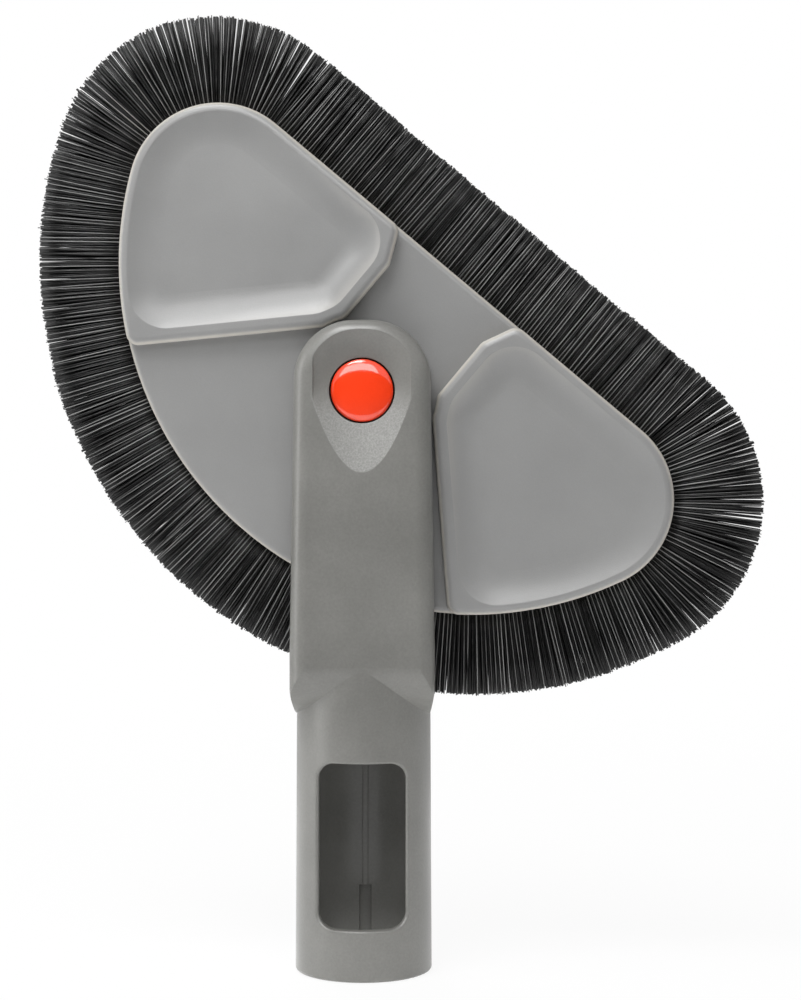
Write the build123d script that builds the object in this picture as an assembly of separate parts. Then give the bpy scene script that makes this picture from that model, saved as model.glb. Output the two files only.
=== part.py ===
from build123d import *
import math
import os

# Crevice brush: a flat bristled head that swivels in a forked arm on a push-on pole socket.
# Millimetres. Z runs up the handle from the socket's mouth, X is to the right and the
# button looks along -Y. The head is drawn turned to one of its two stops.

# Pole socket
socket_mouth_radius = 17.0
socket_top_radius = 16.62
socket_buried_height = 3.0
socket_rim_rounding = 0.8
pole_bore_radius = 14.6
pole_bore_depth = 60.0
window_width = 21.2
window_height = 40.6
window_sill_height = 12.6
window_corner_radius = 4.0
window_edge_radius = 0.6
key_slot_width = 3.0
key_slot_height = 18.0
key_slot_depth = 1.3
guide_rib_width = 1.35
guide_rib_height = 0.2

# Forked arm
pivot_height = 144.3
arm_depth = 33.4
arm_top_half_width = 16.8
arm_root_half_width = 17.8
arm_neck_half_width = 16.5
arm_foot_half_width = 13.0
arm_neck_height = 63.4
arm_flank_rise = 7.1
arm_root_rise = 9.5
arm_buried_depth = 6.0
arm_crown_rise = 17.3
arm_crown_radius = 14.8
arm_flank_rounding = 8.0
arm_edge_radius = 4.0
fork_slot_width = 11.2
fork_slot_radius = 79.0
foot_round_rise = 13.6
foot_round_drop = 13.1
foot_round_overlap = 0.005
coring_wall = 3.0
coring_width = 10.8
coring_height = 16.6
coring_rib = 2.0
coring_top_drop = 22.5
coring_corner_radius = 2.0

# Thumb scoop round the button
scoop_depth = 3.0
scoop_half_width = 11.9
scoop_radius = 28.0
scoop_slope = 8.5
scoop_end_length = 25.8
scoop_reach = 60.0

# Push button
button_radius = 7.65
button_gap = 0.42
button_dome_rise = 1.7
button_edge_rounding = 0.6
button_top_wall = 2.0
button_skirt_wall = 1.4
button_stem_radius = 2.7
button_proud = 0.35

# Toothed swivel lock
tooth_count = 27
tooth_tip_radius = 10.0
tooth_root_radius = 8.9
tooth_root_width_share = 0.54
tooth_tip_width_share = 0.30
tooth_clearance = 0.1
lock_engagement = 2.8
lock_release_gap = 0.4
gear_web = 2.4
gear_cup_radius = 6.7
gear_collar_length = 5.0
gear_collar_gap = 0.4
pocket_end_gap = 0.05
rear_bore_clearance = 0.05

# Screw that holds the button on the gear
screw_radius = 1.25
screw_length = 6.0
screw_clearance = 0.05
screw_tip_gap = 0.2
screw_head_radius = 2.5
screw_head_height = 1.6
screw_head_rounding = 0.5
screw_recess_radius = 1.1
screw_recess_depth = 0.8

# Return spring and rear cap
spring_wire_radius = 0.5
spring_mean_radius = 5.5
spring_turns = 6
spring_end_gap = 0.1
cap_radius = 11.6
cap_thickness = 2.4
cap_clearance = 0.05
cap_boss_radius = 4.2
cap_boss_height = 2.6
cap_edge_chamfer = 0.4

# Plate of the head, seen square on: a straight edge, two round ends and a long belly
head_rest_angle = 40.0
straight_edge_reach = 36.8
end_radius = 22.3
end_half_span = 59.3
belly_reach = 45.76
core_half_thickness = 2.2
shell_seam_gap = 0.05
shell_floor_height = 4.6
plate_edge_radius = 1.6
lip_width = 1.9
lip_half_gap = 1.5

# Raised lobes: they stand over the plate's middle and stop the arm on either side
ridge_height = 8.7
lobe_tip_height = 6.6
lobe_floor_height = 5.4
stop_clearance = 0.4
ridge_heel_drop = 7.3
ridge_lean = 4.5
ridge_neck_out = 14.9
ridge_shoulder_up = 28.0
ridge_flare_out = 19.0
flare_share = 4
ridge_corner_radius = 3.0
ridge_edge_radius = 1.8
ridge_crest_width = 3.4
ridge_slope_width = 8.4
lobe_rim_width = 2.2
lobe_slope_width = 8.0
dish_mouth_radius = 9.5
dish_steps = 4
dish_floor_radius = 4.0

# Hub of the head, with the head's own lock teeth
hub_radius = 13.5
hub_clearance = 0.05
hub_lug_count = 6
hub_lug_width = 5.0
hub_lug_reach = 16.2
washer_inner_radius = 10.5
washer_outer_radius = 15.2
washer_gap = 0.1

# Frame that carries the bristle strips between the shells
bead_depth = 3.0
bead_gap = 0.1
frame_hoop_width = 4.0
frame_ring_width = 3.4
frame_spoke_width = 4.0
frame_spoke_angles = (20.0, 90.0, 160.0, 270.0)
pin_radius = 1.5
pin_half_length = 3.5
pin_clearance = 0.05
pin_belly_angle = 25.0
pin_edge_offset = 31.0

# Bristle strips
bristle_pitch = 1.0
bristle_radius = 0.34
bristle_sides = 3
bristle_rows = 3
bristle_row_spacing = 0.85
bristle_embed = 0.5
straight_bristle_length = 20.0
belly_bristle_length = 20.2
end_bristle_length = 22.4
bristle_unevenness = 0.35
bristle_scatter_turn = 137.5
bristle_lean = 2.2
bristle_lean_period = 37.0
strip_gap = 0.3
belly_strip_names = ("left", "middle", "right")

# One overrun for every cut
overrun = 1.0

# Heights up the handle
arm_flank_height = arm_neck_height + arm_flank_rise
arm_root_height = arm_flank_height + arm_root_rise
foot_round_height = arm_neck_height + foot_round_rise
socket_cone_height = foot_round_height + socket_buried_height

# Heights on the pivot's axis, counted from the head's middle towards the button
prong_inner = fork_slot_width / 2
arm_face = arm_depth / 2
gear_front = prong_inner + lock_engagement
collar_front = gear_collar_gap - prong_inner
collar_back = collar_front - gear_collar_length
cap_face = cap_thickness - arm_face
scoop_floor = arm_face - scoop_depth
button_edge = scoop_floor + button_proud
cup_floor = gear_front - gear_web

# Reach of the arm's crown from the pivot, which the ridges stay clear of
crown_inset = (arm_top_half_width - arm_crown_radius, arm_crown_rise - arm_crown_radius)
crown_sweep = math.hypot(*crown_inset) + arm_crown_radius

# Centres of the plate's arcs and the lobe's slope
end_drop = straight_edge_reach - end_radius
belly_rise = belly_reach + end_drop - end_radius
belly_drop = end_drop + (end_half_span**2 - belly_rise**2) / (2 * belly_rise)
belly_radius = belly_reach + belly_drop
belly_half_angle = math.degrees(math.atan2(end_half_span, belly_drop - end_drop))
lobe_run = end_half_span + end_radius - ridge_neck_out
shell_bottom = core_half_thickness + shell_seam_gap
hoop_inset = lip_width + bead_depth + bead_gap

# Planes that face the viewer: local z comes forward, and local y runs up the handle in
# elevation, down the arm from the pivot, or down the head's own axis from the pivot
rest = math.radians(head_rest_angle)
pivot = (0, 0, pivot_height)
elevation_plane = Plane(origin=(0, 0, 0), x_dir=(1, 0, 0), z_dir=(0, -1, 0))
arm_plane = Plane(origin=pivot, x_dir=(-1, 0, 0), z_dir=(0, -1, 0))
head_plane = Plane(origin=pivot, x_dir=(-math.cos(rest), 0, math.sin(rest)), z_dir=(0, -1, 0))


def disc(radius, low, high):
    """Round slab about the local z axis, between two heights."""
    return Pos(0, 0, low) * Cylinder(radius, high - low, align=(Align.CENTER, Align.CENTER, Align.MIN))


def slab(plan, low, high):
    """Flat plan raised into a slab between two heights."""
    return Pos(0, 0, low) * extrude(plan, amount=high - low)


def polar(centre, radius, angle):
    """Point on a circle, its angle in degrees from local +y towards +x."""
    turn = math.radians(angle)
    return (centre[0] + radius * math.sin(turn), centre[1] + radius * math.cos(turn))


# Handle: socket, window, forked arm and thumb scoop


def arm_blank():
    """Solid arm in elevation, rounded all round, with its foot buried in the socket."""
    right = [
        (arm_foot_half_width, arm_neck_height - arm_buried_depth),
        (arm_neck_half_width, arm_neck_height),
        (arm_root_half_width, arm_flank_height),
        (arm_root_half_width, arm_root_height),
        (arm_top_half_width, pivot_height),
        (arm_top_half_width, pivot_height + arm_crown_rise),
    ]
    left = [(-x, z) for x, z in reversed(right)]
    bends = [0, arm_flank_rounding, arm_flank_rounding, arm_flank_rounding, arm_flank_rounding]
    bends += [arm_crown_radius, arm_crown_radius]
    bends += bends[4:0:-1] + [0]
    outline = make_face(FilletPolyline(*right, *left, radius=bends, close=True))
    blank = slab(outline, -arm_face, arm_face)
    faces = blank.faces().sort_by(Axis.Z)
    return elevation_plane * fillet(faces[0].edges() + faces[-1].edges(), arm_edge_radius)


def foot_cut():
    """Cut that rounds the arm's foot in to the socket, its underside half an ellipse in depth."""
    low = arm_neck_height - arm_buried_depth - overrun
    section = Rectangle(
        arm_depth + 2 * overrun, foot_round_height - low, align=(Align.CENTER, Align.MAX)
    )
    section -= Ellipse(arm_face + foot_round_overlap, foot_round_drop)
    return extrude(Plane.YZ * (Pos(0, foot_round_height) * section), amount=arm_depth, both=True)


def socket_cone():
    """Round socket with a little draft, its upper end buried in the arm."""
    cone = Cone(
        socket_mouth_radius,
        socket_top_radius,
        socket_cone_height,
        align=(Align.CENTER, Align.CENTER, Align.MIN),
    )
    rim = cone.edges().sort_by(Axis.Z)[0]
    return fillet(rim, socket_rim_rounding)


def window_cut():
    """Window in the front of the socket, cut from the bore's axis outwards."""
    opening = RectangleRounded(window_width, window_height, window_corner_radius)
    centre = Pos(0, window_sill_height + window_height / 2)
    return elevation_plane * slab(centre * opening, 0, arm_depth)


def socket_tube():
    """Round socket with its window, whose outer edge is softened all round."""
    tube = socket_cone() - window_cut()
    edges = tube.faces().filter_by(GeomType.CONE)[0].edges()
    rim = [edge for edge in edges if edge.center().Y < -pole_bore_radius / 2]
    return fillet(rim, window_edge_radius)


def pole_hollow():
    """Bore for the pole and the key slot at its mouth."""
    bore = disc(pole_bore_radius, 0, pole_bore_depth)
    key_slot = Box(
        key_slot_width,
        pole_bore_radius + key_slot_depth,
        key_slot_height,
        align=(Align.CENTER, Align.MIN, Align.MIN),
    )
    return bore + key_slot


def guide_rib():
    """Thin rib up the back of the bore, above the key slot."""
    rib = Box(
        guide_rib_width,
        guide_rib_height + key_slot_depth,
        pole_bore_depth - key_slot_height,
        align=(Align.CENTER, Align.MAX, Align.MIN),
    )
    return Pos(0, pole_bore_radius + key_slot_depth, key_slot_height) * rib


def coring():
    """Pockets that lighten both prongs, open to the fork's slot, with ribs between them."""
    depth = arm_face - coring_wall - prong_inner
    pocket = extrude(
        RectangleRounded(coring_width, coring_height, coring_corner_radius), amount=depth
    )
    step_x = coring_width + coring_rib
    step_y = coring_height + coring_rib
    middle = coring_top_drop + coring_height + coring_rib / 2
    front = [
        Pos(side * step_x / 2, middle + row * step_y / 2, prong_inner) * pocket
        for side in (-1, 1)
        for row in (-1, 1)
    ]
    return [arm_plane * part for part in front + [mirror(part, about=Plane.XY) for part in front]]


def thumb_scoop():
    """Spoon-shaped dish: a tilted round trough with straight sides, closed by a rounded top."""
    trough = Cylinder(scoop_radius, scoop_reach, align=(Align.CENTER, Align.CENTER, Align.MAX))
    end = scale(Sphere(1), by=(scoop_radius, scoop_radius, scoop_end_length))
    tilted = Rot(-scoop_slope, 0, 0) * Pos(0, -scoop_radius) * (trough + end)
    sides = Box(2 * scoop_half_width, scoop_reach, scoop_reach)
    return Pos(0, scoop_depth - arm_face, pivot_height) * (tilted & sides)


def lock_housing():
    """Hollows on the pivot's axis: button bore, toothed pocket, rear bore and cap recess."""
    button_bore = disc(button_radius + button_gap, prong_inner, arm_face)
    pocket = slab(tooth_profile(tooth_clearance), 0, gear_front + pocket_end_gap)
    rear_bore = disc(tooth_tip_radius + rear_bore_clearance, cap_face, 0)
    recess = disc(cap_radius + cap_clearance, -arm_face, cap_face)
    return [arm_plane * part for part in (button_bore, pocket, rear_bore, recess)]


def handle_body():
    """One moulding: socket and fork, with everything that is cut into it."""
    fork_slot = arm_plane * disc(fork_slot_radius, -prong_inner, prong_inner)
    body = (arm_blank() - foot_cut()) + socket_tube()
    body = body - fork_slot - coring() - thumb_scoop() - lock_housing() - pole_hollow()
    return body + guide_rib()


# Lock: gear, button, screw, spring and cap, about the pivot's axis


def tooth_profile(clearance):
    """Outline of the lock's teeth, the first on local +y, opened by a clearance all round."""
    pitch_angle = 2 * math.pi / tooth_count
    root = tooth_root_radius + clearance
    tip = tooth_tip_radius + clearance
    half_root = pitch_angle * tooth_root_width_share / 2 + clearance / root
    half_tip = pitch_angle * tooth_tip_width_share / 2 + clearance / tip
    points = []
    for tooth in range(tooth_count):
        middle = math.pi / 2 - tooth * pitch_angle
        for radius, turn in ((root, half_root), (tip, half_tip), (tip, -half_tip), (root, -half_root)):
            angle = middle + turn
            points.append((radius * math.cos(angle), radius * math.sin(angle)))
    return make_face(Polyline(*points, close=True))


def lock_gear():
    """Sliding gear: teeth in front, a plain collar that runs in the rear prong, a cup inside."""
    teeth = slab(tooth_profile(0), collar_front, gear_front)
    collar = disc(tooth_tip_radius, collar_back, collar_front)
    cup = disc(gear_cup_radius, collar_back, cup_floor)
    hole = disc(screw_radius + screw_clearance, cup_floor, gear_front)
    return teeth + collar - cup - hole


def push_button():
    """Domed button, turned from a profile, with a thin skirt and a centre stem for the screw."""
    top = button_edge + button_dome_rise
    dome_radius = (button_radius**2 + button_dome_rise**2) / (2 * button_dome_rise)
    dome_angle = math.degrees(math.asin(button_radius / dome_radius))
    halfway = polar((0, top - dome_radius), dome_radius, dome_angle / 2)
    profile = make_face(
        [
            Line((0, gear_front), (button_radius, gear_front)),
            Line((button_radius, gear_front), (button_radius, button_edge)),
            ThreePointArc((button_radius, button_edge), halfway, (0, top)),
            Line((0, top), (0, gear_front)),
        ]
    )
    rim = profile.vertices().sort_by_distance((button_radius, button_edge))[0]
    cap = Rot(90, 0, 0) * revolve(fillet(rim, button_edge_rounding), Axis.Y)
    hollow = disc(button_radius - button_skirt_wall, gear_front, button_edge - button_top_wall)
    hollow -= disc(button_stem_radius, gear_front, arm_face)
    hole = disc(screw_radius + screw_clearance, gear_front, cup_floor + screw_length + screw_tip_gap)
    return cap - hollow - hole


def button_screw():
    """Round-headed screw, put in from the gear's cup."""
    head = disc(screw_head_radius, cup_floor - screw_head_height, cup_floor)
    head = fillet(head.edges().sort_by(Axis.Z)[0], screw_head_rounding)
    recess = extrude(RegularPolygon(screw_recess_radius, 6), amount=screw_recess_depth)
    recess = Pos(0, 0, cup_floor - screw_head_height) * recess
    return head + disc(screw_radius, cup_floor, cup_floor + screw_length) - recess


def return_spring():
    """Coil spring between the cap and the floor of the gear's cup."""
    low = cap_face + spring_end_gap + spring_wire_radius
    high = cup_floor - spring_end_gap - spring_wire_radius
    coil = Helix(pitch=(high - low) / spring_turns, height=high - low, radius=spring_mean_radius)
    wire = Plane(origin=coil @ 0, z_dir=coil % 0) * Circle(spring_wire_radius)
    return Pos(0, 0, low) * sweep(wire, path=coil, is_frenet=True)


def rear_cap():
    """Cap that closes the rear prong and centres the spring."""
    plate = disc(cap_radius, -arm_face, cap_face)
    plate = chamfer(plate.edges().sort_by(Axis.Z)[0], cap_edge_chamfer)
    return plate + disc(cap_boss_radius, cap_face, cap_face + cap_boss_height)


# Head: plate shells, frame, hub, washers and pins, about the head's own axis


def plate_plan(inset):
    """Whole plan of the plate, drawn in by an inset."""
    top = inset - straight_edge_reach
    upper_end = (end_half_span, -end_drop)
    lower_end = (-end_half_span, -end_drop)
    belly_end = polar(upper_end, end_radius - inset, belly_half_angle)
    mid_angle = (belly_half_angle + 180) / 2
    edges = [
        Line((-end_half_span, top), (end_half_span, top)),
        ThreePointArc(
            (end_half_span, top), polar(upper_end, end_radius - inset, mid_angle), belly_end
        ),
        ThreePointArc(belly_end, (0, belly_radius - inset - belly_drop), (-belly_end[0], belly_end[1])),
        ThreePointArc(
            (-belly_end[0], belly_end[1]),
            polar(lower_end, end_radius - inset, -mid_angle),
            (-end_half_span, top),
        ),
    ]
    return make_face(edges)


def ridge_side():
    """Everything on the upper lobe's side of its ridge: the stop, the neck and the flare."""
    lean = math.radians(head_rest_angle + ridge_lean)
    reach = arm_top_half_width + stop_clearance
    heel = (
        reach * math.cos(rest) + ridge_heel_drop * math.sin(rest),
        ridge_heel_drop * math.cos(rest) - reach * math.sin(rest),
    )
    neck = (ridge_neck_out, heel[1] - (heel[0] - ridge_neck_out) / math.tan(lean))
    toe = (neck[0] + belly_radius * math.sin(lean), neck[1] + belly_radius * math.cos(lean))
    shoulder = (ridge_neck_out, -ridge_shoulder_up)
    flare_across = ridge_flare_out - ridge_neck_out
    flare_along = straight_edge_reach - ridge_shoulder_up
    flare = (shoulder[0] + flare_share * flare_across, shoulder[1] - flare_share * flare_along)
    far = 2 * belly_radius
    return make_face(Polyline(toe, neck, shoulder, flare, (far, flare[1]), (far, toe[1]), close=True))


def lobe_plan(rim_inset, ridge_inset, corner_radius):
    """Plan of the upper lobe, drawn in from the plate's edge and from its ridge."""
    side = offset(ridge_side(), amount=-ridge_inset - corner_radius, kind=Kind.INTERSECTION)
    core = plate_plan(rim_inset + corner_radius) & side
    core -= Circle(crown_sweep + stop_clearance + ridge_inset + corner_radius)
    return offset(core, amount=corner_radius, kind=Kind.ARC)


def lobe_level(share):
    """Places a level shape at a share of the dish's depth, 0 on the lobe's sloping top."""
    remaining = (1 - share) ** 2
    height = lobe_floor_height + (ridge_height - lobe_floor_height) * remaining
    tilt = math.degrees(math.atan((ridge_height - lobe_tip_height) / lobe_run * remaining))
    return Pos(ridge_neck_out, 0, height) * Rot(0, tilt, 0) * Pos(-ridge_neck_out, 0)


def dish_section(share):
    """Outline of the dish at a share of its slope, from its mouth to its floor."""
    radius = dish_mouth_radius + (dish_floor_radius - dish_mouth_radius) * share
    rim = lobe_rim_width + lobe_slope_width * share
    ridge = ridge_crest_width + ridge_slope_width * share
    return lobe_level(share) * lobe_plan(rim, ridge, radius)


def lobe():
    """Upper lobe: a wedge with its high ridge towards the arm and a hollowed top."""
    outline = lobe_plan(0, 0, ridge_corner_radius)
    rough = slab(outline, shell_bottom, ridge_height + overrun)
    lid = Box(
        2 * belly_radius,
        2 * belly_radius,
        arm_depth,
        align=(Align.CENTER, Align.CENTER, Align.MIN),
    )
    wedge = rough - lobe_level(0) * lid
    wedge = fillet(wedge.faces().sort_by(Axis.Z)[-1].edges(), ridge_edge_radius)
    sections = [dish_section(step / dish_steps) for step in range(dish_steps, -1, -1)]
    dish = loft([section.faces()[0] for section in sections])
    return wedge - dish - extrude(sections[-1], amount=overrun)


def pin_places():
    """Centres of the locating pins, on the middle of the frame's hoop."""
    inset = hoop_inset + frame_hoop_width / 2
    upper = [
        (end_half_span + end_radius - inset, -end_drop),
        polar((0, -belly_drop), belly_radius - inset, pin_belly_angle),
        (pin_edge_offset, inset - straight_edge_reach),
    ]
    return upper + [(-x, y) for x, y in upper]


def shell_half():
    """Front half of the plate's skin: thin middle, lip over the strips and two lobes."""
    skin = slab(plate_plan(0), shell_bottom, shell_floor_height)
    skin = fillet(skin.faces().sort_by(Axis.Z)[-1].edges(), plate_edge_radius)
    lip = slab(plate_plan(0) - plate_plan(lip_width), lip_half_gap, shell_bottom)
    upper = lobe()
    hole = disc(hub_radius + hub_clearance, 0, arm_depth)
    pins = [
        Pos(x, y) * disc(pin_radius + pin_clearance, 0, pin_half_length + pin_clearance)
        for x, y in pin_places()
    ]
    return skin + lip + upper + mirror(upper, about=Plane.YZ) - hole - pins


def hub_lugs(clearance):
    """Plan of the lugs that key the hub into the frame."""
    lug = Rectangle(
        hub_lug_reach + clearance,
        hub_lug_width + 2 * clearance,
        align=(Align.MIN, Align.CENTER),
    )
    return Sketch() + [Rot(0, 0, copy * 360 / hub_lug_count) * lug for copy in range(hub_lug_count)]


def hub_gear():
    """Hard hub of the head: a ring with the lock's inner teeth, keyed by lugs at mid-height."""
    ring = disc(hub_radius, -shell_floor_height, shell_floor_height)
    lugs = slab(hub_lugs(0), -core_half_thickness, core_half_thickness)
    teeth = slab(tooth_profile(tooth_clearance), -arm_face, arm_face)
    return ring + lugs - teeth


def thrust_washer():
    """Slip washer between the hub and the front prong."""
    ring = disc(washer_outer_radius, shell_floor_height, prong_inner - washer_gap)
    return ring - disc(washer_inner_radius, 0, arm_face)


def core_frame():
    """Flat frame between the shells: a hoop behind the strips, a hub ring and its spokes."""
    hoop = plate_plan(hoop_inset) - plate_plan(hoop_inset + frame_hoop_width)
    ring = Circle(hub_lug_reach + frame_ring_width)
    spoke = Rectangle(
        end_half_span + end_radius, frame_spoke_width, align=(Align.MIN, Align.CENTER)
    )
    spokes = [Rot(0, 0, angle) * spoke & plate_plan(hoop_inset) for angle in frame_spoke_angles]
    plan = hoop + ring + spokes - Circle(hub_radius + hub_clearance) - hub_lugs(hub_clearance)
    frame = slab(plan, -core_half_thickness, core_half_thickness)
    hole = disc(pin_radius + pin_clearance, -core_half_thickness, core_half_thickness)
    return frame - [Pos(x, y) * hole for x, y in pin_places()]


def shell_pins():
    """Pins that line the frame up with both shells."""
    pin = disc(pin_radius, -pin_half_length, pin_half_length)
    return Part() + [Pos(x, y) * pin for x, y in pin_places()]


# Bristle strips: each a slice of backing bead with its strands


def strand(foot, heading, length, copy):
    """One filament from its foot in the bead, in its own row, leaning and ending unevenly."""
    row = copy % bristle_rows - (bristle_rows - 1) / 2
    uneven = bristle_unevenness * math.sin(math.radians(copy * bristle_scatter_turn))
    lean = bristle_lean * math.sin(2 * math.pi * copy * bristle_pitch / bristle_lean_period)
    turn = math.radians(heading + lean)
    direction = (math.sin(turn), math.cos(turn), 0)
    place = Plane(origin=(foot[0], foot[1], row * bristle_row_spacing), z_dir=direction)
    prism = extrude(RegularPolygon(bristle_radius, bristle_sides), amount=length + uneven)
    return place * prism


def straight_strip(start, end):
    """Strip along the straight edge between two places across it."""
    outer = lip_width - straight_edge_reach
    bead = Pos((start + end) / 2, outer) * Rectangle(
        end - start - strip_gap, bead_depth, align=(Align.CENTER, Align.MIN)
    )
    count = round((end - start) / bristle_pitch)
    length = straight_bristle_length + lip_width + bristle_embed
    strands = []
    for copy in range(count):
        across = start + (end - start) * (copy + 1 / 2) / count
        strands.append(strand((across, outer + bristle_embed), 180, length, copy))
    return slab(bead, -core_half_thickness, core_half_thickness) + strands


def round_strip(centre, radius, start, end, side_length, middle_length):
    """Strip round part of an arc, its strands longer by the middle of the run."""
    outer = radius - lip_width
    inner = outer - bead_depth
    trim = math.degrees(strip_gap / 2 / outer)
    first = start + trim
    last = end - trim
    middle = (start + end) / 2
    outline = [
        ThreePointArc(
            polar(centre, outer, first), polar(centre, outer, middle), polar(centre, outer, last)
        ),
        Line(polar(centre, outer, last), polar(centre, inner, last)),
        ThreePointArc(
            polar(centre, inner, last), polar(centre, inner, middle), polar(centre, inner, first)
        ),
        Line(polar(centre, inner, first), polar(centre, outer, first)),
    ]
    count = round(radius * math.radians(end - start) / bristle_pitch)
    strands = []
    for copy in range(count):
        share = (copy + 1 / 2) / count
        angle = start + (end - start) * share
        visible = side_length + (middle_length - side_length) * math.sin(math.pi * share)
        foot = polar(centre, outer - bristle_embed, angle)
        strands.append(strand(foot, angle, visible + lip_width + bristle_embed, copy))
    return slab(make_face(outline), -core_half_thickness, core_half_thickness) + strands


def bristle_strips():
    """All strips by name: two along the straight edge, two ends and three on the belly."""
    strips = {
        "bristles_straight_left": straight_strip(0, end_half_span),
        "bristles_straight_right": straight_strip(-end_half_span, 0),
    }
    for name, side in (("right", -1), ("left", 1)):
        turns = sorted((side * belly_half_angle, side * 180))
        strips["bristles_end_" + name] = round_strip(
            (side * end_half_span, -end_drop),
            end_radius,
            *turns,
            straight_bristle_length,
            end_bristle_length,
        )
    step = 2 * belly_half_angle / len(belly_strip_names)
    for place, name in enumerate(reversed(belly_strip_names)):
        start = place * step - belly_half_angle
        strips["bristles_belly_" + name] = round_strip(
            (0, -belly_drop),
            belly_radius,
            start,
            start + step,
            belly_bristle_length,
            belly_bristle_length,
        )
    return strips


def all_parts():
    """Every sub-part by name, placed in the frame of the whole brush."""
    skin = shell_half()
    washer = thrust_washer()
    arm_parts = {
        "lock_gear": lock_gear(),
        "push_button": push_button(),
        "button_screw": button_screw(),
        "return_spring": return_spring(),
        "rear_cap": rear_cap(),
    }
    head_parts = {
        "front_shell": skin,
        "rear_shell": mirror(skin, about=Plane.XY),
        "core_frame": core_frame(),
        "hub_gear": hub_gear(),
        "front_washer": washer,
        "rear_washer": mirror(washer, about=Plane.XY),
        "shell_pins": shell_pins(),
        **bristle_strips(),
    }
    parts = {"handle_body": handle_body()}
    parts.update({name: arm_plane * part for name, part in arm_parts.items()})
    parts.update({name: head_plane * part for name, part in head_parts.items()})
    return parts


os.makedirs("parts", exist_ok=True)
for name, part in all_parts().items():
    export_step(part, "parts/" + name + ".step")
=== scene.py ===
import math

import bpy
import numpy as np
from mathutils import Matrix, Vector


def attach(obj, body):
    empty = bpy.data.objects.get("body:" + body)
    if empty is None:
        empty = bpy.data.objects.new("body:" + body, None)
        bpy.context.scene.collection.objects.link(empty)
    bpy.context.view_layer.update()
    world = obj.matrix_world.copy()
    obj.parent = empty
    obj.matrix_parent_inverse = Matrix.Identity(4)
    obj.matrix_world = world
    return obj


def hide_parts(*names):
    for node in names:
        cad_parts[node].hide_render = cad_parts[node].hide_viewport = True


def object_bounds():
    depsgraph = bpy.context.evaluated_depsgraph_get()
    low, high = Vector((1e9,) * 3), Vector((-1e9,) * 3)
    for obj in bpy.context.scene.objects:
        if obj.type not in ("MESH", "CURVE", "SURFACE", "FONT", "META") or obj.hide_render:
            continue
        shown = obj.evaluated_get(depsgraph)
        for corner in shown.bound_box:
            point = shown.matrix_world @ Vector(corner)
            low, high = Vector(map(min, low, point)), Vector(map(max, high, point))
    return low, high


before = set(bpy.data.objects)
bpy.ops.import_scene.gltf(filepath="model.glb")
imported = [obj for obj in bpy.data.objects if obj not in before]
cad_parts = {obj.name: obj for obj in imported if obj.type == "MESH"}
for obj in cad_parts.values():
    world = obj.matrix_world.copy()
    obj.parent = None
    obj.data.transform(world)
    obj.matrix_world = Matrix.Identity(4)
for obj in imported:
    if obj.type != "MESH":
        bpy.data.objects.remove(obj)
cad_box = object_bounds()

# The view: a studio camera level with the button and a little to the right of the handle.
# Its back stays upright, so the frame reaches down to the socket by a small lens shift.
lens_place = Vector((0.019, -0.620, 0.142))
lens_target = Vector((0.0092, 0.0, 0.142))
view_width = 0.20025
camera_data = bpy.data.cameras.new("studio_camera")
camera_data.sensor_fit = "HORIZONTAL"
camera_data.sensor_width = 36.0
camera_data.lens = camera_data.sensor_width * abs(lens_place.y) / view_width
camera_data.shift_y = -0.125
camera_data.clip_start = 0.01
camera_data.clip_end = 50.0
camera = bpy.data.objects.new("studio_camera", camera_data)
camera.location = lens_place
camera.rotation_euler = (lens_target - lens_place).to_track_quat("-Z", "Y").to_euler()
bpy.context.scene.collection.objects.link(camera)
bpy.context.scene.camera = camera
bpy.context.scene.view_settings.view_transform = "Standard"

# The room: white all round, at full white to the camera and in reflections, and faint as a
# light of its own.
room = bpy.data.worlds.new("white_room")
bpy.context.scene.world = room
room.use_nodes = True
room_nodes = room.node_tree.nodes
room_links = room.node_tree.links
room_nodes.clear()
rays = room_nodes.new("ShaderNodeLightPath")
seen = room_nodes.new("ShaderNodeMath")
seen.operation = "ADD"
seen.use_clamp = True
also = room_nodes.new("ShaderNodeMath")
also.operation = "ADD"
also.use_clamp = True
room_links.new(rays.outputs["Is Camera Ray"], seen.inputs[0])
room_links.new(rays.outputs["Is Glossy Ray"], seen.inputs[1])
room_links.new(seen.outputs[0], also.inputs[0])
room_links.new(rays.outputs["Is Transmission Ray"], also.inputs[1])
glow = room_nodes.new("ShaderNodeBackground")
glow.inputs["Color"].default_value = (1.0, 1.0, 1.0, 1.0)
glow.inputs["Strength"].default_value = 0.12
white = room_nodes.new("ShaderNodeBackground")
white.inputs["Color"].default_value = (1.0, 1.0, 1.0, 1.0)
white.inputs["Strength"].default_value = 1.0
blend = room_nodes.new("ShaderNodeMixShader")
room_out = room_nodes.new("ShaderNodeOutputWorld")
room_links.new(also.outputs[0], blend.inputs[0])
room_links.new(glow.outputs[0], blend.inputs[1])
room_links.new(white.outputs[0], blend.inputs[2])
room_links.new(blend.outputs[0], room_out.inputs["Surface"])


# The lamps: soft boxes above the camera, overhead and behind, a strip on the left, and the
# stand's own faint glow from below. All but the glow are turned towards the brush.
brush_middle = (0.0, 0.0, 0.13)


def soft_box(name, place, target, width, height, power):
    """A rectangular area lamp at a place, turned towards a target."""
    lamp = bpy.data.lights.new(name, "AREA")
    lamp.shape = "RECTANGLE"
    lamp.size = width
    lamp.size_y = height
    lamp.energy = power
    holder = bpy.data.objects.new(name, lamp)
    holder.location = place
    holder.rotation_euler = (Vector(target) - Vector(place)).to_track_quat("-Z", "Y").to_euler()
    bpy.context.scene.collection.objects.link(holder)
    return holder


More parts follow.
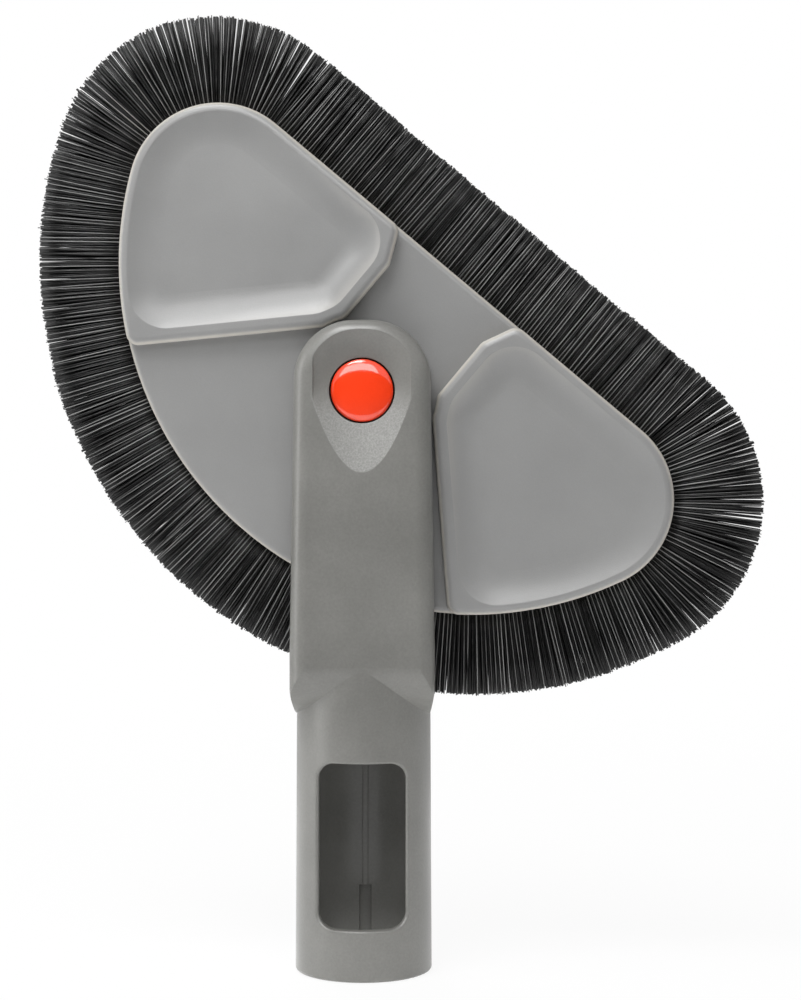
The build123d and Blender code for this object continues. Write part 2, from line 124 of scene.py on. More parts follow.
front_box = soft_box("front_soft_box", (-0.06, -0.71, 0.74), brush_middle, 1.00, 0.22, 2.1)
front_box.visible_glossy = False
soft_box("top_soft_box", (-0.20, -0.40, 1.00), brush_middle, 0.50, 0.40, 8.0)
soft_box("left_strip", (-0.66, -0.14, 0.20), brush_middle, 0.14, 0.60, 1.5)
soft_box("rear_soft_box", (-0.25, 0.75, 0.75), brush_middle, 0.80, 0.50, 5.0)
stand_glow = soft_box("stand_glow", (0.0, -0.05, -0.0001), (0.0, -0.05, 1.0), 0.90, 0.60, 1.0)
stand_glow.visible_camera = False

# The screens: a black cloth behind the camera and on the right, and a bright card above the
# lens. Only reflections see them: the cloth keeps the button's middle clear, and the card
# draws the crescent of light on its shoulder.
cloth_half_width = 1.2
cloth_near = -0.22
cloth_back = -0.80
cloth_right_end = 0.2
cloth_foot = 0.001
cloth_top = 0.46
card_left = -0.60
card_right = 0.28
card_back = -0.76
card_top = 0.88
card_strength = 5.5


def gloss_screen(name, corners, faces, strength):
    """A dull black sheet that only reflections see, which glows at the strength given."""
    mesh = bpy.data.meshes.new(name)
    mesh.from_pydata(corners, [], faces)
    sheet = bpy.data.objects.new(name, mesh)
    bpy.context.scene.collection.objects.link(sheet)
    sheet.visible_camera = False
    sheet.visible_diffuse = False
    sheet.visible_transmission = False
    sheet.visible_shadow = False
    material = bpy.data.materials.new(name)
    material.use_nodes = True
    skin = material.node_tree.nodes["Principled BSDF"]
    skin.inputs["Base Color"].default_value = (0.02, 0.02, 0.02, 1.0)
    skin.inputs["Roughness"].default_value = 1.0
    skin.inputs["Emission Color"].default_value = (1.0, 1.0, 1.0, 1.0)
    skin.inputs["Emission Strength"].default_value = strength
    mesh.materials.append(material)


cloth_line = ((cloth_near, cloth_foot), (cloth_back, cloth_foot), (cloth_back, cloth_top))
cloth_corners = [(side * cloth_half_width, y, z) for y, z in cloth_line for side in (-1, 1)]
cloth_corners += [(cloth_half_width, cloth_right_end, z) for z in (cloth_foot, cloth_top)]
gloss_screen("dark_cloth", cloth_corners, [(0, 1, 3, 2), (2, 3, 5, 4), (3, 6, 7, 5)], 0.0)
card_outline = (
    (card_left, cloth_top), (card_right, cloth_top), (card_right, card_top), (card_left, card_top)
)
card_corners = [(x, card_back, z) for x, z in card_outline]
gloss_screen("bright_card", card_corners, [(0, 1, 2, 3)], card_strength)

# The floor that the brush's socket stands on: a pale matt sheet. The camera sees it as white
# paper that still takes the brush's shadow, and it fades to plain white further out.
sheet_reach = 4.0
sheet_drop = 0.0002
fade_near = 0.04
fade_far = 0.60
sheet_mesh = bpy.data.meshes.new("floor_sheet")
corner = np.array([(-1, -1, 0), (1, -1, 0), (1, 1, 0), (-1, 1, 0)], dtype=float) * sheet_reach
corner[:, 2] = cad_box[0][2] - sheet_drop
sheet_mesh.from_pydata([tuple(c) for c in corner], [], [(0, 1, 2, 3)])
sheet = bpy.data.objects.new("floor_sheet", sheet_mesh)
bpy.context.scene.collection.objects.link(sheet)
paper = bpy.data.materials.new("floor_paper")
paper.use_nodes = True
paper_nodes = paper.node_tree.nodes
paper_links = paper.node_tree.links
paper_nodes.clear()
paper_rays = paper_nodes.new("ShaderNodeLightPath")
matt = paper_nodes.new("ShaderNodeBsdfDiffuse")
matt.inputs["Color"].default_value = (0.84, 0.84, 0.84, 1.0)
bright = paper_nodes.new("ShaderNodeEmission")
bright.inputs["Color"].default_value = (1.0, 1.0, 1.0, 1.0)
bright.inputs["Strength"].default_value = 1.0
place = paper_nodes.new("ShaderNodeTexCoord")
reach = paper_nodes.new("ShaderNodeVectorMath")
reach.operation = "LENGTH"
fade = paper_nodes.new("ShaderNodeMapRange")
fade.inputs["From Min"].default_value = fade_near
fade.inputs["From Max"].default_value = fade_far
fade.inputs["To Min"].default_value = 0.92
fade.inputs["To Max"].default_value = 1.0
fade.interpolation_type = "SMOOTHSTEP"
share = paper_nodes.new("ShaderNodeMath")
share.operation = "MULTIPLY"
paper_mix = paper_nodes.new("ShaderNodeMixShader")
paper_out = paper_nodes.new("ShaderNodeOutputMaterial")
paper_links.new(place.outputs["Object"], reach.inputs[0])
paper_links.new(reach.outputs["Value"], fade.inputs["Value"])
paper_links.new(fade.outputs["Result"], share.inputs[0])
paper_links.new(paper_rays.outputs["Is Camera Ray"], share.inputs[1])
paper_links.new(share.outputs[0], paper_mix.inputs[0])
paper_links.new(matt.outputs[0], paper_mix.inputs[1])
paper_links.new(bright.outputs[0], paper_mix.inputs[2])
paper_links.new(paper_mix.outputs[0], paper_out.inputs["Surface"])
sheet_mesh.materials.append(paper)


# Handle: the socket, the forked arm and the thumb scoop, moulded in one piece of mid-grey
# ABS. The mould's spark-eroded skin leaves a fine grain and the melt faint clouds. The scoop's
# floor carries painted light: it is painted paler where it tilts up towards the lamps.
def moulded_plastic(name, dark, pale, grain, grain_depth, roughness, edge):
    """Grained plastic: two tones mixed by a cloud noise and a fine speckle, a roughness that
    drifts with the cloud, a bump from fine noise, and edges rounded in the shading."""
    material = bpy.data.materials.new(name)
    material.use_nodes = True
    nodes = material.node_tree.nodes
    links = material.node_tree.links
    nodes.clear()
    where = nodes.new("ShaderNodeTexCoord")
    cloud = nodes.new("ShaderNodeTexNoise")
    cloud.inputs["Scale"].default_value = 38.0
    cloud.inputs["Detail"].default_value = 4.0
    cloud.inputs["Roughness"].default_value = 0.55
    speckle = nodes.new("ShaderNodeTexNoise")
    speckle.inputs["Scale"].default_value = grain
    speckle.inputs["Detail"].default_value = 2.0
    speckle.inputs["Roughness"].default_value = 0.6
    tone = nodes.new("ShaderNodeMath")
    tone.operation = "MULTIPLY_ADD"
    tone.inputs[1].default_value = 0.45
    ramp = nodes.new("ShaderNodeValToRGB")
    ramp.color_ramp.elements[0].position = 0.42
    ramp.color_ramp.elements[0].color = (*dark, 1.0)
    ramp.color_ramp.elements[1].position = 1.0
    ramp.color_ramp.elements[1].color = (*pale, 1.0)
    sheen = nodes.new("ShaderNodeMapRange")
    sheen.inputs["From Min"].default_value = 0.25
    sheen.inputs["From Max"].default_value = 0.75
    sheen.inputs["To Min"].default_value = roughness - 0.05
    sheen.inputs["To Max"].default_value = roughness + 0.05
    rounded = nodes.new("ShaderNodeBevel")
    rounded.samples = 6
    rounded.inputs["Radius"].default_value = edge
    bump = nodes.new("ShaderNodeBump")
    bump.inputs["Strength"].default_value = 0.8
    bump.inputs["Distance"].default_value = grain_depth
    plastic = nodes.new("ShaderNodeBsdfPrincipled")
    plastic.inputs["IOR"].default_value = 1.5
    out = nodes.new("ShaderNodeOutputMaterial")
    links.new(where.outputs["Object"], cloud.inputs["Vector"])
    links.new(where.outputs["Object"], speckle.inputs["Vector"])
    links.new(speckle.outputs["Fac"], tone.inputs[0])
    links.new(cloud.outputs["Fac"], tone.inputs[2])
    links.new(tone.outputs[0], ramp.inputs["Fac"])
    links.new(ramp.outputs["Color"], plastic.inputs["Base Color"])
    links.new(cloud.outputs["Fac"], sheen.inputs["Value"])
    links.new(sheen.outputs["Result"], plastic.inputs["Roughness"])
    links.new(speckle.outputs["Fac"], bump.inputs["Height"])
    links.new(rounded.outputs["Normal"], bump.inputs["Normal"])
    links.new(bump.outputs["Normal"], plastic.inputs["Normal"])
    links.new(plastic.outputs["BSDF"], out.inputs["Surface"])
    return material


def wear(node, material):
    """Puts a material in every slot of a CAD node's object."""
    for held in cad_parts[node].material_slots:
        held.material = material


def worked_out(material, operation, *inputs):
    """The result of one math node, whose inputs are each a socket or a number."""
    step = material.node_tree.nodes.new("ShaderNodeMath")
    step.operation = operation
    for number, value in enumerate(inputs):
        if isinstance(value, float):
            step.inputs[number].default_value = value
        else:
            material.node_tree.links.new(value, step.inputs[number])
    return step.outputs[0]


def tinted(material, mask, tint):
    """Lays another colour over a plastic's own where a mask says so."""
    nodes = material.node_tree.nodes
    links = material.node_tree.links
    skin = nodes["Principled BSDF"].inputs["Base Color"]
    mix = nodes.new("ShaderNodeMixRGB")
    links.new(mask, mix.inputs["Fac"])
    links.new(skin.links[0].from_socket, mix.inputs["Color1"])
    if isinstance(tint, tuple):
        mix.inputs["Color2"].default_value = (*tint, 1.0)
    else:
        links.new(tint, mix.inputs["Color2"])
    links.new(mix.outputs["Color"], skin)


def span_share(material, value, low, high, top):
    """A mask that rises smoothly from none at one value to a top share at another."""
    share = material.node_tree.nodes.new("ShaderNodeMapRange")
    share.interpolation_type = "SMOOTHSTEP"
    share.inputs["From Min"].default_value = low
    share.inputs["From Max"].default_value = high
    share.inputs["To Max"].default_value = top
    material.node_tree.links.new(value, share.inputs["Value"])
    return share.outputs["Result"]


def paint_scoop_light(material):
    """Painted light on the scoop's floor: a paler patch with a coarser grain, standing in for the
    light the floor catches where it tilts up. It ends where the tilted round floor runs out into
    the arm's face, at x squared = scoop_spread * (z - scoop_tip), and fades out beside the
    button."""
    nodes = material.node_tree.nodes
    links = material.node_tree.links
    scoop_tip = 0.1242
    scoop_spread = 0.00837
    edge_softness = 0.000004
    fade_from, fade_to = 0.137, 0.146
    front_from, front_to = -0.008, -0.010
    painted_light_share = 0.9
    spot = nodes.new("ShaderNodeTexCoord")
    split = nodes.new("ShaderNodeSeparateXYZ")
    links.new(spot.outputs["Object"], split.inputs[0])
    across, deep, high = split.outputs
    above_tip = worked_out(material, "SUBTRACT", high, scoop_tip)
    spread = worked_out(material, "MULTIPLY", above_tip, scoop_spread)
    square = worked_out(material, "MULTIPLY", across, across)
    inside = worked_out(material, "SUBTRACT", spread, square)
    in_curve = span_share(material, inside, 0.0, edge_softness, painted_light_share)
    below = span_share(material, high, fade_to, fade_from, 1.0)
    front = span_share(material, deep, front_from, front_to, 1.0)
    both = worked_out(material, "MULTIPLY", in_curve, below)
    mask = worked_out(material, "MULTIPLY", both, front)
    coarse = nodes.new("ShaderNodeTexNoise")
    coarse.inputs["Scale"].default_value = 2300.0
    coarse.inputs["Detail"].default_value = 3.0
    coarse.inputs["Roughness"].default_value = 0.7
    links.new(spot.outputs["Object"], coarse.inputs["Vector"])
    # The patch's paler tones are painted light, for the light the upturned floor catches.
    tone = nodes.new("ShaderNodeValToRGB")
    tone.color_ramp.elements[0].position = 0.36
    tone.color_ramp.elements[0].color = (0.225, 0.224, 0.215, 1.0)
    tone.color_ramp.elements[1].position = 0.66
    tone.color_ramp.elements[1].color = (0.335, 0.335, 0.320, 1.0)
    links.new(coarse.outputs["Fac"], tone.inputs["Fac"])
    tinted(material, mask, tone.outputs["Color"])


arm_grain = 1700.0
arm_grain_depth = 0.00003
arm_edge = 0.00035
arm_dark = (0.140, 0.139, 0.130)
arm_pale = (0.208, 0.206, 0.193)
arm_plastic = moulded_plastic(
    "arm_plastic", arm_dark, arm_pale, arm_grain, arm_grain_depth, roughness=0.33, edge=arm_edge
)
# Painted light on the scoop's floor: paler where it tilts up towards the lamps.
paint_scoop_light(arm_plastic)
wear("handle_body", arm_plastic)

# Rear cap: the round lid pressed into the back of the arm over the lock. It is moulded from
# the handle's plastic, a little duller since no hand rubs it.
cap_plastic = moulded_plastic(
    "cap_plastic", arm_dark, arm_pale, arm_grain, arm_grain_depth, roughness=0.36, edge=arm_edge
)
wear("rear_cap", cap_plastic)


# Head shells: the two halves of the plate with their raised lobes, in a paler grey
# polypropylene with a smoother, faintly waxy skin. Their steep walls carry painted light:
# they are painted paler and warmer than the faces, for the light that falls on them.
def paint_wall_light(material, tint):
    """Painted light: a paler, warmer tint where the surface's own direction has little front or
    back in it, which is on the walls of the plate and of its ridges."""
    wall_flatness, face_flatness = 0.55, 0.93
    nodes = material.node_tree.nodes
    facing = nodes.new("ShaderNodeTexCoord")
    split = nodes.new("ShaderNodeSeparateXYZ")
    material.node_tree.links.new(facing.outputs["Normal"], split.inputs[0])
    flat = worked_out(material, "ABSOLUTE", split.outputs["Y"])
    tinted(material, span_share(material, flat, face_flatness, wall_flatness, 1.0), tint)


shell_plastic = moulded_plastic(
    "shell_plastic", (0.240, 0.240, 0.238), (0.276, 0.276, 0.273),
    grain=3200.0, grain_depth=0.00002, roughness=0.34, edge=0.0003,
)
# Painted light: the shells' walls are painted paler and warmer than the faces.
paint_wall_light(shell_plastic, (0.52, 0.495, 0.450))
wear("front_shell", shell_plastic)
wear("rear_shell", shell_plastic)

# Core frame: the plate's stiff middle layer, which backs the bristle strips and carries the
# hub. It is moulded in black polypropylene and hardly shows between the shells.
frame_plastic = moulded_plastic(
    "frame_plastic", (0.050, 0.050, 0.051), (0.075, 0.075, 0.076),
    grain=2400.0, grain_depth=0.00002, roughness=0.5, edge=0.0002,
)
wear("core_frame", frame_plastic)


# Push button: glossy orange-red ABS, polished in the mould and lacquered. Its face is a
# separate cap, flat in the middle with a rounded shoulder, seated on the moulded dome.
button_plastic = moulded_plastic(
    "button_plastic", (0.88, 0.045, 0.008), (0.96, 0.056, 0.012),
    grain=1800.0, grain_depth=0.000002, roughness=0.09, edge=0.0002,
)
button_skin = button_plastic.node_tree.nodes["Principled BSDF"]
button_skin.inputs["Coat Weight"].default_value = 0.8
button_skin.inputs["Coat Roughness"].default_value = 0.04
wear("push_button", button_plastic)
button_height = 0.1443
cap_rim = 0.01405
cap_radius = 0.00766
cap_rise = 0.00174
cap_skirt = 0.0006


def button_face():
    """The cap: a quarter ellipse turned about the button's axis, whose radius is cap_radius
    times the sine of the fall and whose forward place is cap_rim plus cap_rise times its
    cosine, then a short skirt and a hidden flat disc behind it."""
    rings = 28
    around = 96
    turn = 2 * math.pi * np.arange(around) / around
    fall = math.pi / 2 * np.arange(1, rings + 1) / rings
    out = np.append(cap_radius * np.sin(fall), cap_radius)
    forward = np.append(cap_rim + cap_rise * np.cos(fall), cap_rim - cap_skirt)
    points = np.empty((rings + 1, around, 3))
    points[..., 0] = out[:, None] * np.cos(turn)
    points[..., 1] = -forward[:, None]
    points[..., 2] = button_height + out[:, None] * np.sin(turn)
    poles = np.array(
        [(0.0, -cap_rim - cap_rise, button_height), (0.0, cap_skirt - cap_rim, button_height)]
    )
    front_pole = (rings + 1) * around
    place = np.arange(around)
    after = (place + 1) % around
    low = np.arange(rings)[:, None] * around
    next_low = low + around
    quads = np.stack([low + place, next_low + place, next_low + after, low + after], axis=-1)
    last = rings * around
    fans = [(front_pole, int(a), int(b)) for a, b in zip(place, after)]
    fans += [(front_pole + 1, int(b) + last, int(a) + last) for a, b in zip(place, after)]
    mesh = bpy.data.meshes.new("button_face")
    mesh.from_pydata(
        [tuple(p) for p in np.concatenate([points.reshape(-1, 3), poles])],
        [],
        [tuple(int(c) for c in q) for q in quads.reshape(-1, 4)] + fans,
    )
    mesh.shade_smooth()
    mesh.materials.append(button_plastic)
    face = bpy.data.objects.new("button_face", mesh)
    bpy.context.scene.collection.objects.link(face)
    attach(face, "button")


button_face()

# Lock gear and hub gear: the sliding toothed gear behind the button and the toothed hub that
# it holds, both cut from dark acetal, which runs on itself without grease.
lock_plastic = moulded_plastic(
    "lock_plastic", (0.030, 0.030, 0.032), (0.048, 0.048, 0.050),
    grain=2200.0, grain_depth=0.00001, roughness=0.35, edge=0.0001,
)
wear("lock_gear", lock_plastic)
wear("hub_gear", lock_plastic)

# Slip washers: two pale nylon rings, one on each side of the hub, which keep the plate from
# rubbing on the fork.
washer_plastic = moulded_plastic(
    "washer_plastic", (0.66, 0.65, 0.61), (0.74, 0.73, 0.69),
    grain=1500.0, grain_depth=0.00001, roughness=0.45, edge=0.0001,
)
wear("front_washer", washer_plastic)
wear("rear_washer", washer_plastic)


# Steel parts: the return spring of drawn wire, the button's screw and the six locating
# pins, all zinc plated.
def plated_steel(name):
    """Drawn and plated steel: a metal whose tone and roughness follow a stretched noise."""
    material = bpy.data.materials.new(name)
    material.use_nodes = True
    nodes = material.node_tree.nodes
    links = material.node_tree.links
    nodes.clear()
    where = nodes.new("ShaderNodeTexCoord")
    drawn = nodes.new("ShaderNodeMapping")
    drawn.inputs["Scale"].default_value = (1.0, 6.0, 1.0)
    streak = nodes.new("ShaderNodeTexNoise")
    streak.inputs["Scale"].default_value = 900.0
    streak.inputs["Detail"].default_value = 3.0
    ramp = nodes.new("ShaderNodeValToRGB")
    ramp.color_ramp.elements[0].position = 0.3
    ramp.color_ramp.elements[0].color = (0.48, 0.48, 0.47, 1.0)
    ramp.color_ramp.elements[1].position = 0.7
    ramp.color_ramp.elements[1].color = (0.64, 0.64, 0.62, 1.0)
    dull = nodes.new("ShaderNodeMapRange")
    dull.inputs["To Min"].default_value = 0.22
    dull.inputs["To Max"].default_value = 0.42
    steel = nodes.new("ShaderNodeBsdfPrincipled")
    steel.inputs["Metallic"].default_value = 1.0
    out = nodes.new("ShaderNodeOutputMaterial")
    links.new(where.outputs["Object"], drawn.inputs["Vector"])
    links.new(drawn.outputs["Vector"], streak.inputs["Vector"])
    links.new(streak.outputs["Fac"], ramp.inputs["Fac"])
    links.new(ramp.outputs["Color"], steel.inputs["Base Color"])
    links.new(streak.outputs["Fac"], dull.inputs["Value"])
    links.new(dull.outputs["Result"], steel.inputs["Roughness"])
    links.new(steel.outputs["BSDF"], out.inputs["Surface"])
    return material


bright_steel = plated_steel("plated_steel")
for part in ("return_spring", "button_screw", "shell_pins"):
    wear(part, bright_steel)

# Bristle strips: seven lengths of black nylon filament fused into a backing bead that sits
# between the shells. The strands stand in seven rows and are trimmed even with a few left
# longer. The outer rows are thinner and closer and lean in tufts, and every second one is
# painted paler, a painted highlight along the strand.
lip_width = 0.0019
bead_depth = 0.0030
bead_half_height = 0.0022
strip_gap = 0.0003
strand_embed = 0.0005
bead_stations = 25

# The strands' sizes and rows, and the tones of the strands with a painted highlight, of the
# darker ones and of the bead.
strand_radius = 0.00014
filler_radius = 0.00036
tip_taper = 0.18
strand_sides = 5
strand_rings = 4
straight_length = 0.0200
end_length = 0.0224
belly_length = 0.0202
strand_rows = 7
strand_row_spacing = 0.00043
strand_pitch = 0.00086
outer_pitch = 0.00050
golden_share = 0.618
end_margin = 0.3
fan_share = 0.9
tuft_width = 0.0120
# The paler strands' tone is a painted highlight, not the nylon's own colour.
painted_highlight_tone, dark_tone, bead_tone = 1.0, 0.05, 0.2

# How far the strands stray from an even row, in thickness, place, lean, bend and trim.
thinnest, thickest = 0.88, 1.1
pitch_scatter = 0.12
row_scatter = 0.00006
tuft_scatter = 0.3
tuft_lean = math.radians(1.2)
end_tuft_share = 0.3
strand_lean = math.radians(0.35)
strand_bend = 0.00012
fan_scatter = 0.00010
trim_scatter = 0.00014
tuft_trim_scatter = 0.00012
long_strands = 0.008
long_least, long_most = 0.0003, 0.0008
trim_most = 0.00085
faintest = 0.1
scatter = np.random.default_rng(27)

# The head's own axes and the plate's outline: a straight edge, two round ends and the
# wide arc of the belly. The along axis points from the pivot to the belly's middle, angles
# start from it, and a drop is how far an arc's centre lies on the pivot's other side.
pivot = np.array((0.0, 0.0, button_height))
head_turn = math.radians(40.0)
across_axis = np.array((-math.cos(head_turn), 0.0, math.sin(head_turn)))
along_axis = np.array((-math.sin(head_turn), 0.0, -math.cos(head_turn)))
front_axis = np.array((0.0, -1.0, 0.0))
straight_reach = 0.0368
end_radius = 0.0223
end_half_span = 0.0593
belly_radius = 0.0876
end_drop = straight_reach - end_radius
belly_drop = end_drop + math.sqrt((belly_radius - end_radius) ** 2 - end_half_span**2)
belly_half_angle = math.atan2(end_half_span, belly_drop - end_drop)


def nylon_filament(name):
    """Black nylon: near-black, with a painted highlight on the strands where the strand_tone
    attribute says so, a fine noise over both, and a satin gloss."""
    material = bpy.data.materials.new(name)
    material.use_nodes = True
    nodes = material.node_tree.nodes
    links = material.node_tree.links
    nodes.clear()
    where = nodes.new("ShaderNodeAttribute")
    where.attribute_name = "strand_tone"
    fine = nodes.new("ShaderNodeTexCoord")
    speck = nodes.new("ShaderNodeTexNoise")
    speck.inputs["Scale"].default_value = 700.0
    speck.inputs["Detail"].default_value = 2.0
    sum_tone = nodes.new("ShaderNodeMath")
    sum_tone.operation = "MULTIPLY_ADD"
    sum_tone.inputs[1].default_value = 0.35
    ramp = nodes.new("ShaderNodeValToRGB")
    # The ramp's pale end is the painted highlight on the outer strands.
    ramp.color_ramp.elements[0].position = 0.30
    ramp.color_ramp.elements[0].color = (0.0015, 0.0015, 0.0016, 1.0)
    ramp.color_ramp.elements[1].position = 1.0
    ramp.color_ramp.elements[1].color = (0.230, 0.230, 0.227, 1.0)
    nylon = nodes.new("ShaderNodeBsdfPrincipled")
    nylon.inputs["Roughness"].default_value = 0.38
    nylon.inputs["Specular IOR Level"].default_value = 0.35
    nylon.inputs["IOR"].default_value = 1.53
    out = nodes.new("ShaderNodeOutputMaterial")
    links.new(fine.outputs["Object"], speck.inputs["Vector"])
    links.new(speck.outputs["Fac"], sum_tone.inputs[0])
    links.new(where.outputs["Fac"], sum_tone.inputs[2])
    links.new(sum_tone.outputs[0], ramp.inputs["Fac"])
    links.new(ramp.outputs["Color"], nylon.inputs["Base Color"])
    links.new(nylon.outputs["BSDF"], out.inputs["Surface"])
    return material


def head_places(across, along, front):
    """Row-frame points from head coordinates: pivot + across, along and front components."""
    return (
        pivot
        + across[..., None] * across_axis
        + along[..., None] * along_axis
        + front[..., None] * front_axis
    )


def strand_tubes(foot, heading, front, length, thick):
    """Tubes for many strands at once. A strand's middle line is foot + t*length along its
    heading + bend*t*t to the side, and front + fan*t; its rings are regular polygons
    whose radius falls a little towards the tip. Returns points (strand, ring, side, 3)."""
    count = len(heading)
    t = np.linspace(0.0, 1.0, strand_rings)[None, :]
    bend = scatter.normal(0.0, strand_bend, count)[:, None]
    fan = (front * fan_share + scatter.normal(0.0, fan_scatter, count))[:, None]
    sine = np.sin(heading)[:, None]
    cosine = np.cos(heading)[:, None]
    run = length[:, None] * t
    aside = bend * t * t
    mid_across = foot[:, 0:1] + run * sine + aside * cosine
    mid_along = foot[:, 1:2] + run * cosine - aside * sine
    mid_front = front[:, None] + fan * t
    radius = (thick * scatter.uniform(thinnest, thickest, count))[:, None] * (1.0 - tip_taper * t)
    turn = 2 * math.pi * np.arange(strand_sides) / strand_sides
    turn = turn[None, None, :] + scatter.uniform(0, 2 * math.pi, count)[:, None, None]
    side_part = radius[..., None] * np.cos(turn)
    front_part = radius[..., None] * np.sin(turn)
    ring_across = mid_across[..., None] + side_part * cosine[..., None]
    ring_along = mid_along[..., None] - side_part * sine[..., None]
    ring_front = mid_front[..., None] + front_part
    return head_places(ring_across, ring_along, ring_front)


def tube_faces(count):
    """Quads round every strand, ring by ring, and one closing polygon at each end."""
    ring = np.arange(strand_sides)
    after = (ring + 1) % strand_sides
    start = np.arange(count)[:, None, None] * strand_rings * strand_sides
    low = start + np.arange(strand_rings - 1)[None, :, None] * strand_sides
    high = low + strand_sides
    quads = np.stack([low + ring, low + after, high + after, high + ring], axis=-1)
    first = start[:, 0, :] + ring[::-1]
    last = start[:, 0, :] + (strand_rings - 1) * strand_sides + ring
    return quads.reshape(-1, 4), np.concatenate([first, last])


def bead_tube(outer, inner):
    """Closed bar between an outer and an inner line of the bead: four corners a station."""
    corners = []
    for line, front in ((outer, 1), (inner, 1), (inner, -1), (outer, -1)):
        level = np.full(len(line), front * bead_half_height)
        corners.append(head_places(line[:, 0], line[:, 1], level))
    points = np.stack(corners, axis=1)
    stations = len(outer)
    ring = np.arange(4)
    low = np.arange(stations - 1)[:, None] * 4
    after = (ring + 1) % 4
    quads = np.stack([low + ring, low + ring + 4, low + after + 4, low + after], axis=-1)
    caps = np.array([ring, ring[::-1] + (stations - 1) * 4])
    return points.reshape(-1, 3), np.concatenate([quads.reshape(-1, 4), caps])


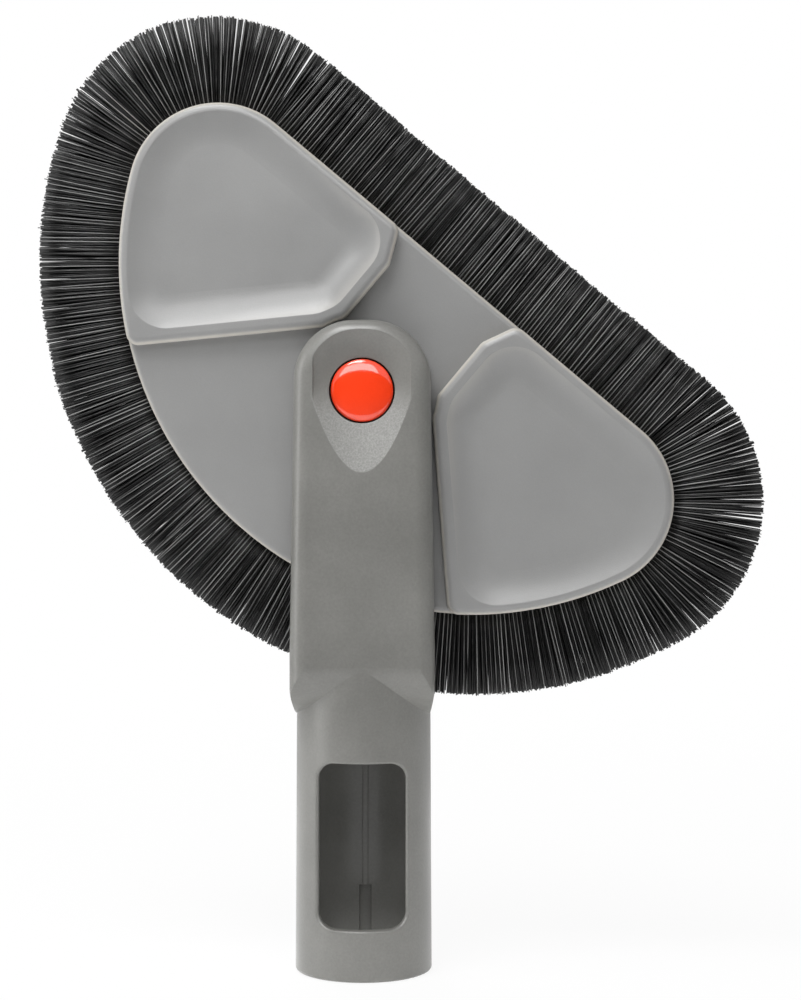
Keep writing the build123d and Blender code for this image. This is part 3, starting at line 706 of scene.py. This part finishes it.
def bristle_piece(name, strip_line, span, length_at):
    """One strip: its bead, and strands in rows along its line, each row shifted by the golden
    share of a pitch. strip_line gives (point, heading) at a distance inside the plate's edge
    for shares of the span, and length_at gives the length that shows there."""
    pitch = np.full(strand_rows, strand_pitch)
    pitch[[0, -1]] = outer_pitch
    in_row = np.round(span / pitch).astype(int)
    row = np.repeat(np.arange(strand_rows), in_row)
    place = np.concatenate([np.arange(strands) for strands in in_row])
    per_row = in_row[row]
    outer_row = (row == 0) | (row == strand_rows - 1)
    count = len(row)
    off_pitch = scatter.uniform(-pitch_scatter, pitch_scatter, count)
    share = (place + (row * golden_share) % 1.0 + off_pitch) / per_row
    share = np.clip(share, end_margin / per_row, 1 - end_margin / per_row)
    foot, heading = strip_line(share, lip_width + strand_embed)
    off_row = scatter.uniform(-row_scatter, row_scatter, count)
    front = (row - (strand_rows - 1) / 2) * strand_row_spacing + off_row
    tufts = max(2, int(round(span / tuft_width)))
    edges = np.linspace(0, 1, tufts + 1)
    edges[1:-1] += scatter.uniform(-tuft_scatter, tuft_scatter, tufts - 1) / tufts
    tuft = np.clip(np.searchsorted(edges, share) - 1, 0, tufts - 1)
    lean = scatter.normal(0.0, tuft_lean, tufts)
    lean[[0, -1]] *= end_tuft_share
    turn = lean[tuft] * outer_row
    turn += scatter.normal(0.0, strand_lean, count) * (1.0 + outer_row)
    trim = scatter.normal(0.0, trim_scatter, count)
    trim += scatter.normal(0.0, tuft_trim_scatter, tufts)[tuft]
    proud = scatter.uniform(0, 1, count) < long_strands
    trim += proud * scatter.uniform(long_least, long_most, count)
    trim = np.minimum(trim, trim_most)
    length = length_at(share) + lip_width + strand_embed + trim
    thick = np.where(outer_row, strand_radius, filler_radius)
    tubes = strand_tubes(foot, heading + turn, front, length, thick)
    quads, ends = tube_faces(count)
    steps = np.linspace(0, 1, bead_stations)
    inset = strip_gap / 2 / span
    steps = inset + steps * (1 - 2 * inset)
    outer, _ = strip_line(steps, lip_width)
    inner, _ = strip_line(steps, lip_width + bead_depth)
    bead_points, bead_quads = bead_tube(outer, inner)
    points = np.concatenate([tubes.reshape(-1, 3), bead_points])
    quads = np.concatenate([quads, bead_quads + len(points) - len(bead_points)])
    corners = np.concatenate([quads.ravel(), ends.ravel()])
    sizes = np.concatenate([np.full(len(quads), 4), np.full(len(ends), strand_sides)])
    starts = np.concatenate([[0], np.cumsum(sizes)[:-1]])
    mesh = bpy.data.meshes.new(name)
    mesh.vertices.add(len(points))
    mesh.vertices.foreach_set("co", points.astype(np.float32).ravel())
    mesh.loops.add(len(corners))
    mesh.loops.foreach_set("vertex_index", corners.astype(np.int32))
    mesh.polygons.add(len(sizes))
    mesh.polygons.foreach_set("loop_start", starts.astype(np.int32))
    mesh.polygons.foreach_set("loop_total", sizes.astype(np.int32))
    smooth = np.zeros(len(sizes), dtype=bool)
    smooth[: count * (strand_rings - 1) * strand_sides] = True
    mesh.polygons.foreach_set("use_smooth", smooth)
    mesh.update(calc_edges=True)
    mesh.validate()
    tone = mesh.attributes.new("strand_tone", "FLOAT", "POINT")
    # Painted highlight: every second strand of the outer rows is painted pale, for the line of
    # light along it.
    lit = outer_row & (place % 2 == 0)
    own = np.where(lit, painted_highlight_tone, dark_tone) * scatter.uniform(faintest, 1.0, count)
    own = np.repeat(own, strand_rings * strand_sides)
    value = np.concatenate([own, np.full(len(bead_points), bead_tone)])
    tone.data.foreach_set("value", value.astype(np.float32))
    mesh.materials.append(black_nylon)
    piece = bpy.data.objects.new(name, mesh)
    bpy.context.scene.collection.objects.link(piece)
    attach(piece, "head")
    return piece


def straight_line(start, end):
    """Places along the straight edge: across runs from start to end, heading outwards."""
    def at(share, inside):
        across = start + (end - start) * share
        foot = np.stack([across, np.full(len(share), inside - straight_reach)], axis=-1)
        return foot, np.full(len(share), math.pi)
    return at


def round_line(centre, radius, start, end):
    """Places round an arc: the heading is the arc's own angle, from the along axis."""
    def at(share, inside):
        angle = start + (end - start) * share
        reach_in = radius - inside
        foot = np.stack(
            [centre[0] + reach_in * np.sin(angle), centre[1] + reach_in * np.cos(angle)], axis=-1
        )
        return foot, angle
    return at


black_nylon = nylon_filament("black_nylon")
for side_name, low, high in (("left", 0.0, end_half_span), ("right", -end_half_span, 0.0)):
    strip = bristle_piece(
        "strip_straight_" + side_name,
        straight_line(low, high),
        end_half_span,
        lambda share: np.full(len(share), straight_length),
    )
    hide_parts("bristles_straight_" + side_name)
for side_name, side in (("right", -1), ("left", 1)):
    low, high = sorted((side * belly_half_angle, side * math.pi))
    strip = bristle_piece(
        "strip_end_" + side_name,
        round_line((side * end_half_span, -end_drop), end_radius, low, high),
        end_radius * (high - low),
        lambda share: straight_length + (end_length - straight_length) * np.sin(math.pi * share),
    )
    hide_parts("bristles_end_" + side_name)
step = 2 * belly_half_angle / 3
for number, place_name in enumerate(("right", "middle", "left")):
    low = number * step - belly_half_angle
    strip = bristle_piece(
        "strip_belly_" + place_name,
        round_line((0.0, -belly_drop), belly_radius, low, low + step),
        belly_radius * step,
        lambda share: np.full(len(share), belly_length),
    )
    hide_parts("bristles_belly_" + place_name)
